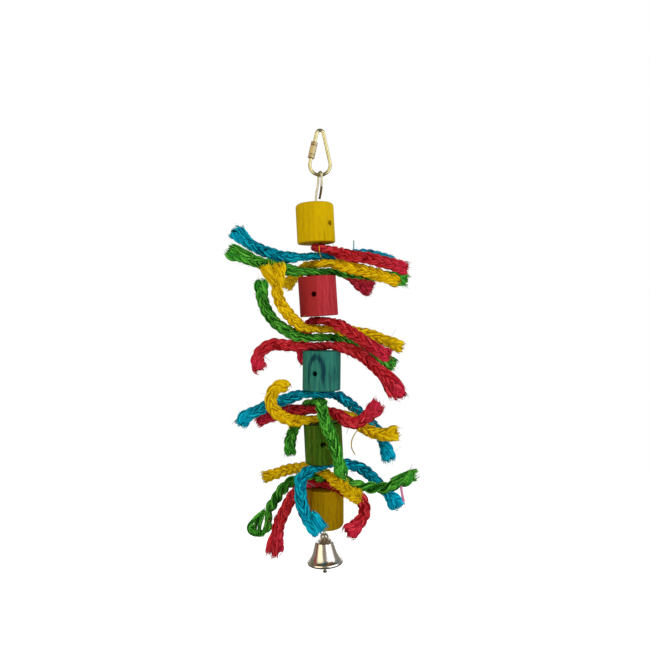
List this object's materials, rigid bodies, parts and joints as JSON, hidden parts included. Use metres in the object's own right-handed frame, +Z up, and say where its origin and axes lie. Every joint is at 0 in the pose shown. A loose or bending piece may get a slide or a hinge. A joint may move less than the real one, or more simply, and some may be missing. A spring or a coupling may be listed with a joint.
{
  "type": "hanging parrot chew toy",
  "caption": "Hanging chew toy for a parrot: dyed wooden blocks and plaited sisal ropes threaded on a wire, with a quick link above and a small bell below.",
  "frame": {"origin": "where the toy hangs: the inside of the narrow top bend of the quick link", "axes": "+Z up along the hanging toy, +X to the right in the picture, +Y away from the viewer"},
  "size_m": [0.1317, 0.0964, 0.3108],
  "materials": {
    "link_steel": "zinc plated, faintly yellow",
    "wire_steel": "drawn steel wire",
    "wood_yellow": "dyed, unvarnished",
    "wood_red": "dyed, unvarnished",
    "wood_blue": "dyed, unvarnished",
    "wood_green": "dyed, unvarnished",
    "wood_ochre": "dyed, unvarnished",
    "sisal_red": "dyed plaited fibre",
    "sisal_blue": "dyed plaited fibre",
    "sisal_yellow": "dyed plaited fibre",
    "sisal_green": "dyed plaited fibre",
    "bell_nickel": "nickel plated"
  },
  "bodies": {
    "link": {"quick_link_body": "link_steel"},
    "sleeve": {"quick_link_sleeve": "link_steel"},
    "stem": {"stem_wire": "wire_steel"},
    "block_1_yellow_body": {"block_1_yellow": "wood_yellow"},
    "block_2_red_body": {"block_2_red": "wood_red"},
    "block_3_blue_body": {"block_3_blue": "wood_blue"},
    "block_4_green_body": {"block_4_green": "wood_green"},
    "block_5_yellow_body": {"block_5_yellow": "wood_ochre"},
    "rope_1_red_body": {"rope_1_red": "sisal_red"},
    "rope_1_blue_body": {"rope_1_blue": "sisal_blue"},
    "rope_1_yellow_body": {"rope_1_yellow": "sisal_yellow"},
    "rope_1_green_body": {"rope_1_green": "sisal_green"},
    "rope_2_red_upper_body": {"rope_2_red_upper": "sisal_red"},
    "rope_2_yellow_body": {"rope_2_yellow": "sisal_yellow"},
    "rope_2_green_body": {"rope_2_green": "sisal_green"},
    "rope_2_red_lower_body": {"rope_2_red_lower": "sisal_red"},
    "rope_3_blue_body": {"rope_3_blue": "sisal_blue"},
    "rope_3_green_body": {"rope_3_green": "sisal_green"},
    "rope_3_red_body": {"rope_3_red": "sisal_red"},
    "rope_3_yellow_body": {"rope_3_yellow": "sisal_yellow"},
    "rope_4_blue_body": {"rope_4_blue": "sisal_blue"},
    "rope_4_yellow_body": {"rope_4_yellow": "sisal_yellow"},
    "rope_4_green_body": {"rope_4_green": "sisal_green"},
    "rope_4_red_body": {"rope_4_red": "sisal_red"},
    "bell": {"bell_shell": "bell_nickel", "bell_hanger": "bell_nickel"},
    "clapper_body": {"clapper": "wire_steel"}
  },
  "joints": [
    {"name": "sleeve_slide", "type": "slide", "parent": "link", "child": "sleeve", "axis": [0.2174, 0, 0.9761], "range_m": [0, 0.006]},
    {"name": "stem_swing", "type": "hinge", "parent": "link", "child": "stem", "pos_m": [0, 0, -0.0302], "axis": [1, 0, 0], "range_deg": [-60, 60]},
    {"name": "block_1_yellow_spin", "type": "hinge", "parent": "stem", "child": "block_1_yellow_body", "pos_m": [-0.00325, 0, -0.0642], "axis": [-0.0524, 0, 0.9986], "continuous": true},
    {"name": "block_2_red_spin", "type": "hinge", "parent": "stem", "child": "block_2_red_body", "pos_m": [-0.00139, 0, -0.11508], "axis": [-0.0662, 0, 0.9978], "continuous": true},
    {"name": "block_3_blue_spin", "type": "hinge", "parent": "stem", "child": "block_3_blue_body", "pos_m": [0.00115, 0, -0.16676], "axis": [0.01, 0, 1], "continuous": true},
    {"name": "block_4_green_spin", "type": "hinge", "parent": "stem", "child": "block_4_green_body", "pos_m": [0.00245, 0, -0.21724], "axis": [-0.05, 0, 0.9987], "continuous": true},
    {"name": "block_5_yellow_spin", "type": "hinge", "parent": "stem", "child": "block_5_yellow_body", "pos_m": [0.0033, 0, -0.26263], "axis": [-0.0016, 0, 1], "continuous": true},
    {"name": "rope_1_red_turn", "type": "hinge", "parent": "stem", "child": "rope_1_red_body", "pos_m": [-0.00211, 0, -0.08102], "axis": [-0.0258, 0, 0.9997], "range_deg": [-8, 8]},
    {"name": "rope_1_blue_turn", "type": "hinge", "parent": "stem", "child": "rope_1_blue_body", "pos_m": [-0.00196, 0, -0.08676], "axis": [-0.0258, 0, 0.9997], "range_deg": [-8, 8]},
    {"name": "rope_1_yellow_turn", "type": "hinge", "parent": "stem", "child": "rope_1_yellow_body", "pos_m": [-0.00181, 0, -0.09251], "axis": [-0.0258, 0, 0.9997], "range_deg": [-8, 8]},
    {"name": "rope_1_green_turn", "type": "hinge", "parent": "stem", "child": "rope_1_green_body", "pos_m": [-0.00166, 0, -0.09826], "axis": [-0.0258, 0, 0.9997], "range_deg": [-8, 8]},
    {"name": "rope_2_red_upper_turn", "type": "hinge", "parent": "stem", "child": "rope_2_red_upper_body", "pos_m": [-0.00079, 0, -0.132], "axis": [-0.0258, 0, 0.9997], "range_deg": [-8, 8]},
    {"name": "rope_2_yellow_turn", "type": "hinge", "parent": "stem", "child": "rope_2_yellow_body", "pos_m": [-0.00064, 0, -0.13795], "axis": [-0.0258, 0, 0.9997], "range_deg": [-8, 8]},
    {"name": "rope_2_green_turn", "type": "hinge", "parent": "stem", "child": "rope_2_green_body", "pos_m": [-0.00048, 0, -0.14389], "axis": [-0.0258, 0, 0.9997], "range_deg": [-8, 8]},
    {"name": "rope_2_red_lower_turn", "type": "hinge", "parent": "stem", "child": "rope_2_red_lower_body", "pos_m": [-0.00033, 0, -0.14984], "axis": [-0.0258, 0, 0.9997], "range_deg": [-8, 8]},
    {"name": "rope_3_blue_turn", "type": "hinge", "parent": "stem", "child": "rope_3_blue_body", "pos_m": [0.00054, 0, -0.18353], "axis": [-0.0258, 0, 0.9997], "range_deg": [-8, 8]},
    {"name": "rope_3_green_turn", "type": "hinge", "parent": "stem", "child": "rope_3_green_body", "pos_m": [0.00069, 0, -0.18918], "axis": [-0.0258, 0, 0.9997], "range_deg": [-8, 8]},
    {"name": "rope_3_red_turn", "type": "hinge", "parent": "stem", "child": "rope_3_red_body", "pos_m": [0.00083, 0, -0.19483], "axis": [-0.0258, 0, 0.9997], "range_deg": [-8, 8]},
    {"name": "rope_3_yellow_turn", "type": "hinge", "parent": "stem", "child": "rope_3_yellow_body", "pos_m": [0.00098, 0, -0.20047], "axis": [-0.0258, 0, 0.9997], "range_deg": [-8, 8]},
    {"name": "rope_4_blue_turn", "type": "hinge", "parent": "stem", "child": "rope_4_blue_body", "pos_m": [0.00183, 0, -0.23338], "axis": [-0.0258, 0, 0.9997], "range_deg": [-8, 8]},
    {"name": "rope_4_yellow_turn", "type": "hinge", "parent": "stem", "child": "rope_4_yellow_body", "pos_m": [0.00194, 0, -0.23775], "axis": [-0.0258, 0, 0.9997], "range_deg": [-8, 8]},
    {"name": "rope_4_green_turn", "type": "hinge", "parent": "stem", "child": "rope_4_green_body", "pos_m": [0.00205, 0, -0.24212], "axis": [-0.0258, 0, 0.9997], "range_deg": [-8, 8]},
    {"name": "rope_4_red_turn", "type": "hinge", "parent": "stem", "child": "rope_4_red_body", "pos_m": [0.00217, 0, -0.2465], "axis": [-0.0258, 0, 0.9997], "range_deg": [-8, 8]},
    {"name": "bell_swing", "type": "hinge", "parent": "stem", "child": "bell", "pos_m": [0.00311, 0, -0.28294], "axis": [0, 1, 0], "range_deg": [-35, 35]},
    {"name": "clapper_swing", "type": "hinge", "parent": "bell", "child": "clapper_body", "pos_m": [0.00347, 0, -0.28913], "axis": [0, 1, 0], "range_deg": [-30, 30]}
  ]
}
